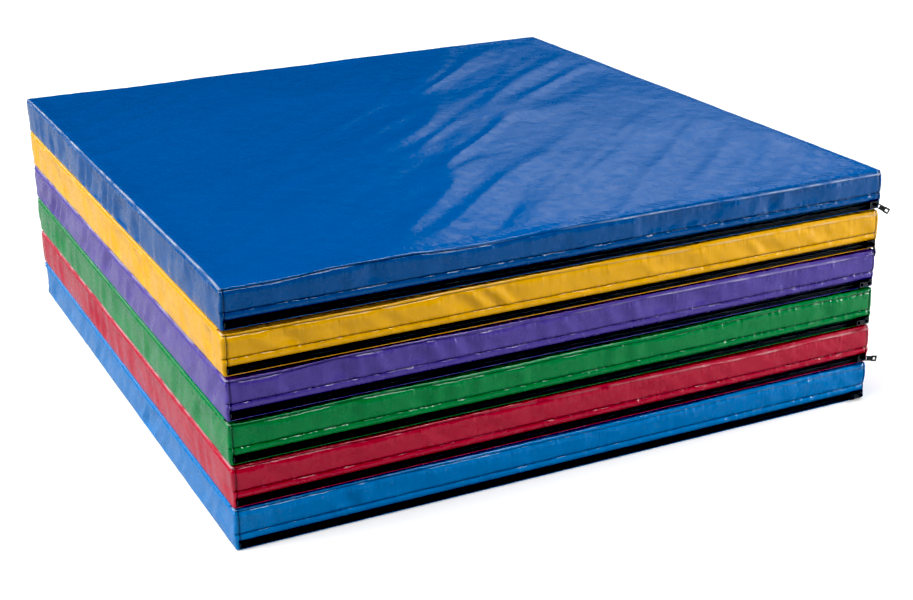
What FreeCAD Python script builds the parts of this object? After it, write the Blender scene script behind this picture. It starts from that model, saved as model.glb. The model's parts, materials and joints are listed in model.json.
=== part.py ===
"""A gym mat of six padded panels, folded concertina-fashion into a stack.

Each panel is a foam block in a zipped vinyl cover. Neighbouring panels are joined by a vinyl
hinge strip that lies in the crease, at the left and the right edge by turns. The origin is on
the floor, under the middle of the stack: +X runs along the zips, +Y from the zips to the back
and +Z up. Lengths are in millimetres and angles in degrees.
"""

import FreeCAD, Part

import os

import Sketcher

# The colours from the floor up. They name the panels and their nodes.
PANELS = ["sky", "red", "green", "purple", "yellow", "royal"]

SIZES = {
    # the panels
    "panel_length": 1000.0,  # along the zip
    "panel_width": 1050.0,  # from the zip to the back
    "core_thickness": 54.0,
    "core_clearance": 0.4,  # from the foam to the nearest part of the zip
    "sheet_thickness": 0.8,  # the coated vinyl
    "corner_radius": 4.0,  # outside, at the four upright corners
    "sewn_gap": 0.1,  # between two sewn layers
    # the zip, low in the front wall
    "zip_inset": 4.0,  # from the panel's corner to the zip's end
    "zip_lip": 2.5,  # wall left under the opening
    "zip_clearance": 0.4,  # from the slider to the edge of the opening
    "tape_thickness": 0.6,
    "tape_hem": 8.0,  # tape hidden behind the wall and on the base sheet
    "coil_width": 3.2,  # one row of the coil
    "coil_depth": 2.4,
    "coil_gap": 1.0,  # between the two rows
    "stop_length": 2.5,
    # the slider
    "slider_length": 14.0,
    "slider_plate": 1.1,
    "slider_flange": 1.1,
    "slider_play": 0.3,  # all round the coil and the tape
    "web_play": 0.25,  # from the web to each row of the coil
    "crown_wall": 1.6,  # round the hole that holds the pull's bar
    "crown_width": 1.8,
    "crown_shift": 3.0,  # from the slider's middle towards its nose
    # the pull
    "pull_length": 20.0,
    "pull_width": 7.2,
    "pull_tip_width": 8.6,
    "pull_thickness": 1.6,
    "pull_bar": 0.6,  # a radius
    "pull_bar_slack": 0.9,  # round the bar in the crown's hole, so that the pull can droop
    "pull_side_play": 1.4,  # from the crown to each arm of the pull
    "pull_end_play": 1.5,  # from the crown to the end of the window round it
    "pull_hole": 4.0,  # side of the square hole at the tip
    # the hinge strips
    "hinge_leaf": 25.0,
    "hinge_thickness": 0.8,
    "hinge_play": 0.3,  # from each leaf to what lies over and under it
    "hinge_inset": 12.0,  # from the panel's corner to the strip's end
    "hinge_reach": 2.0,  # from the wall to the fold line
    "hinge_fold_gap": 0.2,  # from each leaf to the fold line
}

# How each pull lies when the mat is stored: swing is 0 folded back over the zip, 90 straight
# out and 180 past the zip's end; droop is how far it hangs.
PULL_SWING = {"red": 165.0, "yellow": 60.0, "royal": 130.0}
PULL_DROOP = {"red": 6.0, "yellow": 25.0, "royal": 25.0}

doc = FreeCAD.newDocument("folding_mat")
sheet = doc.addObject("Spreadsheet::Sheet", "Sizes")
for row, (alias, value) in enumerate(SIZES.items(), start=1):
    sheet.set(f"A{row}", alias)
    sheet.set(f"B{row}", str(value))
    sheet.setAlias(f"B{row}", alias)
doc.recompute()


def size(text):
    """An expression in which every named size is looked up in the sheet."""
    words = text.replace("(", " ( ").replace(")", " ) ").split()
    return " ".join(f"Sizes.{word}" if word in SIZES else word for word in words)


# Lengths that several pieces share, as expressions of the named sizes.
CORE_GAP_FACE = "( sewn_gap + tape_thickness + core_clearance )"
CORE_GAP_SIDE = f"( {CORE_GAP_FACE} + sheet_thickness + slider_play + slider_plate )"
PANEL_THICKNESS = f"( core_thickness + 2 * {CORE_GAP_FACE} + 2 * sheet_thickness )"
PANEL_GAP = "( 2 * hinge_thickness + 3 * hinge_play )"
PITCH = f"( {PANEL_THICKNESS} + {PANEL_GAP} )"
FRONT = "( panel_width / -2 )"
COIL_WIDTH = "( 2 * coil_width + coil_gap )"
SLIDER_HEIGHT = f"( {COIL_WIDTH} + 2 * slider_play + 2 * slider_flange )"
ZIP_OPENING = f"( {SLIDER_HEIGHT} + 2 * zip_clearance )"
ZIP_LENGTH = "( panel_length - 2 * zip_inset )"
ZIP_MIDDLE = f"( zip_lip + {ZIP_OPENING} / 2 )"
TAPE_FACE = f"( {FRONT} + sheet_thickness + sewn_gap )"
TAPE_BACK = f"( {TAPE_FACE} + tape_thickness )"
COIL_FACE = f"( {TAPE_FACE} - coil_depth )"
PLATE_FACE = f"( {COIL_FACE} - slider_play - slider_plate )"
SLIDER_PLACE = f"( {ZIP_LENGTH} / 2 - stop_length - slider_play - slider_length / 2 )"
CROWN_HOLE = "( pull_bar + pull_bar_slack )"
CROWN_RADIUS = f"( {CROWN_HOLE} + crown_wall )"
PIVOT_PLACE = f"( {SLIDER_PLACE} + crown_shift )"
PIVOT_FACE = f"( {PLATE_FACE} + slider_plate / 2 - {CROWN_RADIUS} )"
PULL_WINDOW = "( crown_width + 2 * pull_side_play )"


def bind(thing, **expressions):
    """Binds properties of a document object to the sheet; a double underscore stands for a dot."""
    for name, expression in expressions.items():
        thing.setExpression(name.replace("__", "."), size(str(expression)))
    return thing


def place(thing, x="0", y="0", z="0"):
    return bind(thing, Placement__Base__x=x, Placement__Base__y=y, Placement__Base__z=z)


def box(name, length, width, height, x, y, z):
    """A block whose low corner is at x, y, z."""
    made = doc.addObject("Part::Box", name)
    bind(made, Length=length, Width=width, Height=height)
    return place(made, x, y, z)


def rod(name, radius, length, x, y, z, axis=FreeCAD.Vector(0, 0, 1)):
    """A round bar that starts at x, y, z and runs along axis."""
    made = doc.addObject("Part::Cylinder", name)
    bind(made, Radius=radius, Height=length)
    made.Placement.Rotation = FreeCAD.Rotation(FreeCAD.Vector(0, 0, 1), axis)
    return place(made, x, y, z)


def fuse(name, *pieces):
    made = doc.addObject("Part::MultiFuse", name)
    made.Shapes = list(pieces)
    made.Refine = True
    return made


def cut(name, base, tool):
    made = doc.addObject("Part::Cut", name)
    made.Base = base
    made.Tool = tool
    return made


def group(name, *pieces):
    made = doc.addObject("Part::Compound", name)
    made.Links = list(pieces)
    return made


def body_with_sketch(name, plane):
    """A new body and a sketch on one of its own origin planes."""
    body = doc.addObject("PartDesign::Body", name)
    return body, sketch_on(body, name + "_outline", plane)


def sketch_on(body, name, plane):
    sketch = body.newObject("Sketcher::SketchObject", name)
    role = next(f for f in body.Origin.OriginFeatures if f.Role == plane)
    sketch.AttachmentSupport = [(role, "")]
    sketch.MapMode = "FlatFace"
    return sketch


def outline(sketch, left, right, low, high, radius=None):
    """Draws a rectangle, with rounded corners if a radius is given, bound to the sheet.

    left, right, low and high are distances from the sketch's origin, each outwards.
    """
    vector = FreeCAD.Vector
    line, arc = Part.LineSegment, Part.ArcOfCircle
    a, b, r = 100.0, 80.0, 5.0
    if radius is None:
        corners = [vector(-a, -b), vector(a, -b), vector(a, b), vector(-a, b)]
        sides = [
            sketch.addGeometry(line(corners[i], corners[(i + 1) % 4]), False) for i in range(4)
        ]
        for i in range(4):
            sketch.addConstraint(
                Sketcher.Constraint("Coincident", sides[i], 2, sides[(i + 1) % 4], 1)
            )
    else:
        quarter = 1.5707963267948966
        ends = [
            (vector(r - a, -b), vector(a - r, -b)),
            (vector(a, r - b), vector(a, b - r)),
            (vector(a - r, b), vector(r - a, b)),
            (vector(-a, b - r), vector(-a, r - b)),
        ]
        centres = [vector(a - r, r - b), vector(a - r, b - r), vector(r - a, b - r), vector(r - a, r - b)]
        sides = [sketch.addGeometry(line(start, end), False) for start, end in ends]
        arcs = []
        for i, centre in enumerate(centres):
            circle = Part.Circle(centre, vector(0, 0, 1), r)
            arcs.append(
                sketch.addGeometry(arc(circle, (i - 1) * quarter, i * quarter), False)
            )
        for i in range(4):
            after = sides[(i + 1) % 4]
            sketch.addConstraint(Sketcher.Constraint("Tangent", sides[i], 2, arcs[i], 1))
            sketch.addConstraint(Sketcher.Constraint("Tangent", arcs[i], 2, after, 1))
        for i in range(1, 4):
            sketch.addConstraint(Sketcher.Constraint("Equal", arcs[0], arcs[i]))
        limit = sketch.addConstraint(Sketcher.Constraint("Radius", arcs[0], r))
        sketch.setExpression(f"Constraints[{limit}]", size(radius))
    for i, kind in enumerate(("Horizontal", "Vertical", "Horizontal", "Vertical")):
        sketch.addConstraint(Sketcher.Constraint(kind, sides[i]))
    # each side's distance from the sketch's origin; a side on the far side is measured back
    for side, kind, outwards, distance in (
        (sides[0], "DistanceY", False, low),
        (sides[1], "DistanceX", True, right),
        (sides[2], "DistanceY", True, high),
        (sides[3], "DistanceX", False, left),
    ):
        start = b if kind == "DistanceY" else a
        points = (-1, 1, side, 1) if outwards else (side, 1, -1, 1)
        limit = sketch.addConstraint(Sketcher.Constraint(kind, *points, start))
        sketch.setExpression(f"Constraints[{limit}]", size(distance))


def pad(body, sketch, length, middle=False):
    made = body.newObject("PartDesign::Pad", sketch.Name + "_pad")
    made.Profile = sketch
    made.SideType = "Symmetric" if middle else "One side"
    bind(made, Length=length)
    body.Tip = made
    return made


def rounded_block(name, inset, radius, height):
    """A block as large as the panel's plan, less inset on every side."""
    body, sketch = body_with_sketch(name, "XY_Plane")
    along = f"( panel_length / 2 - {inset} )"
    across = f"( panel_width / 2 - {inset} )"
    outline(sketch, along, along, across, across, radius)
    pad(body, sketch, height)
    return body


def make_side_band():
    """The four walls of a cover, one closed band, with the zip's opening low in the front."""
    body, sketch = body_with_sketch("side_band", "XY_Plane")
    outer = ("panel_length / 2", "panel_width / 2", "corner_radius")
    inner = [f"( {length} - sheet_thickness )" for length in outer]
    for along, across, radius in (outer, inner):
        outline(sketch, along, along, across, across, radius)
    pad(body, sketch, f"{PANEL_THICKNESS} - 2 * sheet_thickness")
    opening = sketch_on(body, "zip_opening", "XZ_Plane")
    low = "( zip_lip - sheet_thickness )"
    half = f"( {ZIP_LENGTH} / 2 )"
    outline(opening, half, half, f"( -1 * {low} )", f"( {low} + {ZIP_OPENING} )")
    pocket = body.newObject("PartDesign::Pocket", "zip_opening_cut")
    pocket.Profile = opening
    pocket.Type = "ThroughAll"
    pocket.Reversed = True
    body.Tip = pocket
    return body


def make_tape(name, side):
    """One half of the zip: a tape with its row of coil. side is 1 above the middle and -1 below."""
    middle = f"( {ZIP_MIDDLE} + {side} * coil_gap / 2 )"
    if side > 0:
        far = f"( zip_lip + {ZIP_OPENING} + tape_hem )"
        tape = box(
            name + "_web", ZIP_LENGTH, "tape_thickness", f"{far} - {middle}",
            f"{ZIP_LENGTH} / -2", TAPE_FACE, middle,
        )
        row_low = middle
        pieces = [tape]
    else:
        floor = "( sheet_thickness + sewn_gap )"
        tape = box(
            name + "_web", ZIP_LENGTH, "tape_thickness", f"{middle} - {floor}",
            f"{ZIP_LENGTH} / -2", TAPE_FACE, floor,
        )
        turned = box(
            name + "_hem", ZIP_LENGTH, "tape_hem", "tape_thickness",
            f"{ZIP_LENGTH} / -2", TAPE_FACE, floor,
        )
        row_low = f"( {middle} - coil_width )"
        pieces = [tape, turned]
    row_length = f"( {ZIP_LENGTH} - 2 * stop_length )"
    row = box(
        name + "_row", row_length, "coil_depth", "coil_width",
        f"{row_length} / -2", COIL_FACE, row_low,
    )
    return fuse(name, *pieces, row)


def make_stops():
    """Two stops at the end where the slider rests, and a wide one at the other end."""
    above = f"( {ZIP_MIDDLE} + coil_gap / 2 )"
    below = f"( {ZIP_MIDDLE} - {COIL_WIDTH} / 2 )"
    end = f"( {ZIP_LENGTH} / 2 - stop_length )"
    pieces = [
        box("stop_above", "stop_length", "coil_depth", "coil_width", end, COIL_FACE, above),
        box("stop_below", "stop_length", "coil_depth", "coil_width", end, COIL_FACE, below),
        box(
            "stop_wide", "stop_length", "coil_depth", COIL_WIDTH,
            f"{ZIP_LENGTH} / -2", COIL_FACE, below,
        ),
    ]
    return group("zip_stops", *pieces)


def make_slider():
    """Two plates round the coil, joined by a web between its rows, with a crown for the pull."""
    start = f"( {SLIDER_PLACE} - slider_length / 2 )"
    low = f"( {ZIP_MIDDLE} - {SLIDER_HEIGHT} / 2 )"
    back_plate = f"( {TAPE_BACK} + slider_play )"
    depth = f"( {TAPE_FACE} - slider_play - {PLATE_FACE} )"
    inside = f"( {PLATE_FACE} + slider_plate / 2 )"
    web = "( coil_gap - 2 * web_play )"

    def block(name, width, height, y, z):
        return box(name, "slider_length", width, height, start, y, z)

    pieces = [
        block("slider_front", "slider_plate", SLIDER_HEIGHT, PLATE_FACE, low),
        block("slider_back", "slider_plate", SLIDER_HEIGHT, back_plate, low),
        block("slider_lower_flange", depth, "slider_flange", PLATE_FACE, low),
        block(
            "slider_upper_flange", depth, "slider_flange",
            PLATE_FACE, f"{low} + {SLIDER_HEIGHT} - slider_flange",
        ),
        block(
            "slider_web", f"{back_plate} + slider_plate / 2 - {inside}", web,
            inside, f"{ZIP_MIDDLE} - {web} / 2",
        ),
    ]
    base = f"( {ZIP_MIDDLE} - crown_width / 2 )"
    ring = rod("crown_ring", CROWN_RADIUS, "crown_width", PIVOT_PLACE, PIVOT_FACE, base)
    hole = rod(
        "crown_hole", CROWN_HOLE, "2 * crown_width", PIVOT_PLACE, PIVOT_FACE,
        f"{base} - crown_width / 2",
    )
    return fuse("zip_slider", *pieces, cut("crown", ring, hole))


def make_pull():
    """The pull, pivot at the origin, pointing along -X: a tongue with a window round the crown,
    a bar through it and a square hole at its tip."""
    half = "pull_width / 2"
    tongue = box(
        "pull_tongue", "pull_length", "pull_thickness", "pull_width",
        "-1 * pull_length", "pull_thickness / -2", f"-1 * {half}",
    )
    tip = box(
        "pull_tip", "2 * pull_hole", "pull_thickness", "pull_tip_width",
        "-1 * pull_length", "pull_thickness / -2", "pull_tip_width / -2",
    )
    reach = f"( {CROWN_RADIUS} + pull_end_play )"
    window = box(
        "pull_window", f"{reach} + pull_thickness", "2 * pull_thickness", PULL_WINDOW,
        f"-1 * {reach}", "-1 * pull_thickness", f"{PULL_WINDOW} / -2",
    )
    hole = box(
        "pull_tip_hole", "pull_hole", "2 * pull_thickness", "pull_hole",
        "pull_hole / 2 - pull_length", "-1 * pull_thickness", "pull_hole / -2",
    )
    ends = [
        rod(
            f"pull_arm_end_{side}", "pull_thickness / 2", f"( pull_width - {PULL_WINDOW} ) / 2",
            "0", "0", low,
        )
        for side, low in (("low", f"-1 * {half}"), ("high", f"{PULL_WINDOW} / 2"))
    ]
    bar = rod("pull_bar_rod", "pull_bar", "pull_width", "0", "0", f"-1 * {half}")
    plate = fuse("pull_plate", tongue, tip)
    plate = cut("pull_holed", cut("pull_windowed", plate, window), hole)
    return fuse("zip_pull", plate, bar, *ends)


def make_leaf(name, upper):
    """Half of a hinge strip, at the right edge of a panel that stands on the floor.

    The upper leaf is sewn under a panel and the lower one on top of the panel below it. They
    meet at the fold line, halfway up the gap between the two panels.
    """
    low = "-1 * hinge_play - hinge_thickness" if upper else f"{PANEL_THICKNESS} + hinge_play"
    return box(
        name, "hinge_leaf + hinge_reach - hinge_fold_gap", "panel_width - 2 * hinge_inset",
        "hinge_thickness", "panel_length / 2 - hinge_leaf", f"{FRONT} + hinge_inset", low,
    )


# One of each piece, in a panel that stands on the floor. The nodes are copies of these.
core = rounded_block("foam_core", CORE_GAP_SIDE, "corner_radius", "core_thickness")
top_sheet = rounded_block("top_sheet", "0", "corner_radius", "sheet_thickness")
masters = {
    "foam_core": (core, f"sheet_thickness + {CORE_GAP_FACE}"),
    "top_sheet": (top_sheet, f"{PANEL_THICKNESS} - sheet_thickness"),
    "base_sheet": (top_sheet, "0"),
    "side_band": (make_side_band(), "sheet_thickness"),
    "zip_chain": (group("zip_chain", make_tape("upper_tape", 1), make_tape("lower_tape", -1)), "0"),
    "zip_stops": (make_stops(), "0"),
    "zip_slider": (make_slider(), "0"),
}
pull = make_pull()
leaves = {"upper": make_leaf("upper_leaf", True), "lower": make_leaf("lower_leaf", False)}

nodes = []


def node(label, master, x="0", y="0", z="0", turn=None):
    """A named copy of a master piece, placed by the sheet."""
    made = group(label, master)
    made.Label = label
    if turn:
        made.Placement.Rotation = turn
    place(made, x, y, z)
    nodes.append(made)


for level, colour in enumerate(PANELS):
    floor = f"( {level} * {PITCH} )"
    for piece, (master, height) in masters.items():
        node(f"{colour}_{piece}", master, z=f"{floor} + {height}")
    swing = FreeCAD.Rotation(FreeCAD.Vector(0, 0, 1), PULL_SWING.get(colour, 0.0))
    droop = FreeCAD.Rotation(FreeCAD.Vector(0, 1, 0), -PULL_DROOP.get(colour, 0.0))
    node(
        f"{colour}_zip_pull", pull, PIVOT_PLACE, PIVOT_FACE, f"{floor} + {ZIP_MIDDLE}", swing * droop
    )

# The strips join the panels at the left and the right edge by turns, the lowest one at the
# left. A left strip is a right one turned half round about the stack's upright middle line.
half_turn = FreeCAD.Rotation(FreeCAD.Vector(0, 0, 1), 180)
for level, (below, above) in enumerate(zip(PANELS, PANELS[1:])):
    turn = None if level % 2 else half_turn
    name = f"hinge_{below}_{above}"
    node(f"{name}_lower_leaf", leaves["lower"], z=f"{level} * {PITCH}", turn=turn)
    node(f"{name}_upper_leaf", leaves["upper"], z=f"{level + 1} * {PITCH}", turn=turn)

doc.recompute()
for thing in doc.Objects:
    if any(word in thing.State for word in ("Invalid", "Error")):
        raise RuntimeError(f"{thing.Label} failed: {thing.State}")
for made in nodes:
    if made.Shape.isNull() or not made.Shape.isValid() or not made.Shape.Solids:
        raise RuntimeError(f"{made.Label} has no valid solid")

os.makedirs("parts", exist_ok=True)
for made in nodes:
    made.Shape.exportStep(f"parts/{made.Label}.step")
print(len(nodes), "nodes")
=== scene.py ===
# %% [markdown]
# # A folding gym mat
# Six foam panels in zipped vinyl covers, joined by hinge strips and folded into a stack. The
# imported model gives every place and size. This notebook adds what it leaves plain: covers with
# crowned faces, wrinkles and seams, thread, woven zip tape and coil, and the finish of each
# material.

# %% Load the frame
import json
import math

import bmesh
import bpy
import numpy as np
from mathutils import Matrix, Vector
from mathutils.kdtree import KDTree

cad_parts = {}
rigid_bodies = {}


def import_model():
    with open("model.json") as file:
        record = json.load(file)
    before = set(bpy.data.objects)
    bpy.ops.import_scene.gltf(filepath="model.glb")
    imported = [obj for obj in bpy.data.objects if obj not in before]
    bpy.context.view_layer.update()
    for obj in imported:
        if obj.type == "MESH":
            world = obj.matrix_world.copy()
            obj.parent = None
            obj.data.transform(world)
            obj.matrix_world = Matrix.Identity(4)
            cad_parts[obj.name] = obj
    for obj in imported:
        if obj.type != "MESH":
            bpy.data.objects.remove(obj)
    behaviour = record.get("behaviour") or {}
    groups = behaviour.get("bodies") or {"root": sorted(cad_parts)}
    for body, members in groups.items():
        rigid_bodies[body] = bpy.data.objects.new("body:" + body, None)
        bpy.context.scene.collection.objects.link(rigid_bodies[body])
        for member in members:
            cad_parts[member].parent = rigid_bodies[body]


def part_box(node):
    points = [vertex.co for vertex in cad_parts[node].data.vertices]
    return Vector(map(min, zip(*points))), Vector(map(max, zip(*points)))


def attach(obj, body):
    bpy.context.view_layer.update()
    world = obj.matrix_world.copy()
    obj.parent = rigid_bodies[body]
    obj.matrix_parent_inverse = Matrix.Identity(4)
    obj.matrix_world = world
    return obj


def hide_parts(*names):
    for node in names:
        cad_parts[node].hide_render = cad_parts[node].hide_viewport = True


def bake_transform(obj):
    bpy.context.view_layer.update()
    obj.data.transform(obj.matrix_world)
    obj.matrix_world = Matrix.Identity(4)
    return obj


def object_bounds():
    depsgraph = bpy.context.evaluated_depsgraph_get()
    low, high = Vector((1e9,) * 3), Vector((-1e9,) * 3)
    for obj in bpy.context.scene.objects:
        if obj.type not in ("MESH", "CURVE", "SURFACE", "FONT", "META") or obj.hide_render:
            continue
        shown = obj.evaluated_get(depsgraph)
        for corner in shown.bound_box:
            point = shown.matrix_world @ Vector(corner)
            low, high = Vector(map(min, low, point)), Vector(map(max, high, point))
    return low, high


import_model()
cad_low, cad_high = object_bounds()
PANELS = ["sky", "red", "green", "purple", "yellow", "royal"]  # from the floor up
MM = 0.001
print("model box in metres:", [round(v, 4) for v in (*cad_low, *cad_high)])

# %% [markdown]
# ## The view
# The camera stands at the left front, above the stack, with a lens a little longer than normal.
# Its turn, tilt and slight roll are set as angles, the way a tripod head is. The camera comes
# first, because it says what the lights have to do.

# %% Camera
CAMERA_PLACE = Vector((-1.031, -2.281, 1.043))  # metres
CAMERA_TURN, CAMERA_TILT, CAMERA_ROLL = 25.74, 21.26, -0.93  # degrees
CAMERA_LENS = 64.15  # millimetres, over the usual 36 mm sensor
BLACK_LEVEL = (0.024, 0.022, 0.02)  # taken off the darkest tones, so that black is deep

bpy.ops.object.camera_add()
camera = bpy.context.object
camera.data.lens = CAMERA_LENS
camera.matrix_world = (
    Matrix.Translation(CAMERA_PLACE)
    @ Matrix.Rotation(-math.radians(CAMERA_TURN), 4, "Z")
    @ Matrix.Rotation(math.radians(90 - CAMERA_TILT), 4, "X")
    @ Matrix.Rotation(math.radians(CAMERA_ROLL), 4, "Z")
)
scene = bpy.context.scene
scene.camera = camera
scene.view_settings.view_transform = "Standard"
scene.view_settings.use_curve_mapping = True
scene.view_settings.curve_mapping.black_level = BLACK_LEVEL
print("camera at", [round(v, 3) for v in camera.location])

# %% [markdown]
# ## Colours and nodes
# Colours are written as sRGB hex values, as on a paint card, and one function turns them to the
# linear values that the renderer works in. One more function adds a shader node, sets it and
# links it, so that each material reads as a short list.


# %% Colour and node helpers
def linear(text, alpha=1.0):
    """An sRGB hex colour as the linear RGBA that shaders use."""
    channels = [int(text[i : i + 2], 16) / 255 for i in (1, 3, 5)]
    return [c / 12.92 if c <= 0.04045 else ((c + 0.055) / 1.055) ** 2.4 for c in channels] + [alpha]


def add(owner, kind, inputs=(), **settings):
    """Adds a node to a material or a world. Inputs are values or other nodes' outputs."""
    node = owner.node_tree.nodes.new(kind)
    for name, value in settings.items():
        setattr(node, name, value)
    for name, value in dict(inputs).items():
        if isinstance(value, bpy.types.NodeSocket):
            owner.node_tree.links.new(value, node.inputs[name])
        else:
            node.inputs[name].default_value = value
    return node


def new_material(name):
    """An empty material and its output node."""
    material = bpy.data.materials.new(name)
    material.use_nodes = True
    material.node_tree.nodes.clear()
    return material, add(material, "ShaderNodeOutputMaterial")


def finish_material(material, output, shader):
    """Links a shader to its material's output."""
    material.node_tree.links.new(shader.outputs["BSDF"], output.inputs["Surface"])
    return material


print("mid grey #808080 in linear values:", [round(c, 3) for c in linear("#808080")])


# %% [markdown]
# ## Light and floor
# A glossy cover shows its shape by what it reflects, so the lights are area lights with soft
# edges: a window at the left, a strip above the front, a smaller light at the right front, a
# weak one far behind at the left, and a faint one behind at the right that lies on the top as
# a pale sheen. A wide, tilted sun stands for the light that a ceiling sends back.

# %% Lights
AIM = Vector((0, 0, 0.18))  # the middle of the stack
CEILING_POWER = 3.0  # watts per square metre
CEILING_SIDE = Vector((-0.42, 0.2, 0.88))  # the direction that its light comes from
CEILING_WIDTH = 45  # degrees, so that its shadows are soft


def soft_light(name, place, size, power, aim=AIM):
    """An area light of this width and height that faces the point aim."""
    bpy.ops.object.light_add(type="AREA", location=place)
    light = bpy.context.object
    light.name = name
    light.rotation_euler = (Vector(aim) - Vector(place)).to_track_quat("-Z", "Y").to_euler()
    light.data.shape = "RECTANGLE"
    light.data.size, light.data.size_y = size
    light.data.energy = power
    return light


soft_light("left_window", (-3.3, 0.2, 1.2), (1.8, 1.8), 48)
soft_light("front_strip", (1.1, -1.6, 3.1), (2.0, 0.4), 52, aim=(1.1, -0.5, 0.3))
soft_light("right_front", (2.6, -1.6, 0.7), (0.7, 0.7), 42, aim=(0.4, -0.5, 0.15))
soft_light("left_rim", (-1.3, 3.2, 1.4), (0.9, 0.9), 15, aim=(-0.5, 0.0, 0.36))
soft_light("back_sheen", (1.9, 2.2, 1.5), (1.3, 0.5), 2.2, aim=(0.5, -0.3, 0.36))

bpy.ops.object.light_add(type="SUN", location=(0, 0, 4))
ceiling = bpy.context.object
ceiling.name = "ceiling_bounce"
ceiling.data.energy = CEILING_POWER
ceiling.rotation_euler = CEILING_SIDE.to_track_quat("Z", "Y").to_euler()
ceiling.data.angle = math.radians(CEILING_WIDTH)

# %% [markdown]
# ## Room and floor
# The camera sees a white room and a floor that goes to white, but a mat in a white room would
# look washed out. So the room gives the mat little light and still less to reflect, and the
# floor sends back what a light grey one would. The Light Path node tells these rays apart.

# %% Room
ROOM_LIGHT, ROOM_REFLECTED = 0.12, 0.03  # for lighting the mat, and in its reflections

world = bpy.data.worlds.new("white_room")
scene.world = world
world.use_nodes = True
background = world.node_tree.nodes["Background"]
ray = add(world, "ShaderNodeLightPath").outputs
dimmed = add(
    world,
    "ShaderNodeMapRange",
    {"Value": ray["Is Glossy Ray"], "To Min": ROOM_LIGHT, "To Max": ROOM_REFLECTED},
)
seen = add(
    world,
    "ShaderNodeMath",
    {0: dimmed.outputs["Result"], 1: ray["Is Camera Ray"]},
    operation="MAXIMUM",
)
world.node_tree.links.new(seen.outputs[0], background.inputs["Strength"])
background.inputs["Color"].default_value = linear("#ffffff")
print("room nodes:", len(world.node_tree.nodes))

# %% Floor
FLOOR_WHITE, FLOOR_BOUNCE = "#f4f4f4", "#aeaeae"  # as seen, and as it lights the mat
FLOOR_GLOW = 0.22  # lifts the seen floor to white
FLOOR_SIZE = 60  # metres
FLOOR_GAP = 0.5 * MM  # keeps it clear of the lowest cover

floor_material, floor_output = new_material("matt_white_floor")
floor_ray = add(floor_material, "ShaderNodeLightPath").outputs
floor_colour = add(
    floor_material,
    "ShaderNodeMix",
    {"Factor": floor_ray["Is Camera Ray"], "A": linear(FLOOR_BOUNCE), "B": linear(FLOOR_WHITE)},
    data_type="RGBA",
)
floor_glow = add(
    floor_material,
    "ShaderNodeMath",
    {0: floor_ray["Is Camera Ray"], 1: FLOOR_GLOW},
    operation="MULTIPLY",
)
floor_shader = add(floor_material, "ShaderNodeBsdfPrincipled", {
    "Base Color": floor_colour.outputs["Result"],
    "Roughness": 0.9,
    "Emission Color": linear("#ffffff"),
    "Emission Strength": floor_glow.outputs[0],
})
finish_material(floor_material, floor_output, floor_shader)
bpy.ops.mesh.primitive_plane_add(size=FLOOR_SIZE, location=(0, 0, cad_low.z - FLOOR_GAP))
floor = bpy.context.object
floor.name = "floor"
floor.data.materials.append(floor_material)
print("floor at", round(floor.location.z / MM, 2), "mm")

# %% [markdown]
# ## Vinyl
# The covers are PVC-coated polyester: a woven scrim under a smooth, glossy skin. The skin gives
# crisp highlights on every fold, a faint weave shows through it close up, and handling leaves
# it slightly uneven in gloss. Its beads get a painted highlight, partly rubbed wear. The weave,
# the grain, the tucks and the small creases are bumps, each worked out from a real size. Three
# attributes, which the covers get later, say where a seam gets painted shade, where it draws in
# tucks and where a bead or the left top edge gets a painted highlight, partly wear.

# %% Vinyl sizes and colours
VINYL = {
    "sky": "#0283d4",
    "red": "#c41f3c",
    "green": "#058c45",
    "purple": "#5b4aa8",
    "yellow": "#ffbd12",
    "royal": "#01569f",
}
SCRIM_PITCH = 1.6 * MM  # the weave's threads lie closer, but would not show
GRAIN_WIDTH = 0.9 * MM
CREASE_WIDTH = 45 * MM
TUCK_WIDTH = 9 * MM  # the small tucks that a seam draws in
TUCK_STRETCH = 0.16  # a tuck is six times as long, upright, as it is wide
CLOUDS, SCUFFS = 3.0, 45.0  # patches per metre: a third of a metre and 22 mm wide
CLOUD_SHADE = 0.86  # how dark a cloudy patch gets
BEAD_HIGHLIGHT_AND_WEAR = 0.3  # painted highlight, partly wear: how far beads and the left top edge are mixed to white
SEAM_SHADE = 0.12  # painted shade: the bottom of a seam is drawn dark, as its shadow
CREASE_DEPTH, TUCK_DEPTH = 1.2 * MM, 3.0 * MM
WEAVE_DEPTH, GRAIN_DEPTH = 0.06 * MM, 0.2 * MM
GLOSSIEST, DULLEST = 0.2, 0.32  # roughness where the scuffs are least and most
VINYL_IOR = 1.53
print("weave of", round(SCRIM_PITCH / MM, 1), "mm, grain of", round(GRAIN_WIDTH / MM, 1), "mm")


# %% Weave
def weave_height(material, position, pitch):
    """The height of crossed threads, as sine waves along the three axes added up."""
    split = add(material, "ShaderNodeSeparateXYZ", {"Vector": position})
    total = None
    for axis in "XYZ":
        angle = add(
            material,
            "ShaderNodeMath",
            {0: split.outputs[axis], 1: 2 * math.pi / pitch},
            operation="MULTIPLY",
        )
        wave = add(material, "ShaderNodeMath", {0: angle.outputs[0]}, operation="SINE")
        if total is None:
            total = wave
        else:
            total = add(
                material,
                "ShaderNodeMath",
                {0: total.outputs[0], 1: wave.outputs[0]},
                operation="ADD",
            )
    return total.outputs[0]


print("weave waves per metre:", round(1 / SCRIM_PITCH))


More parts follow.
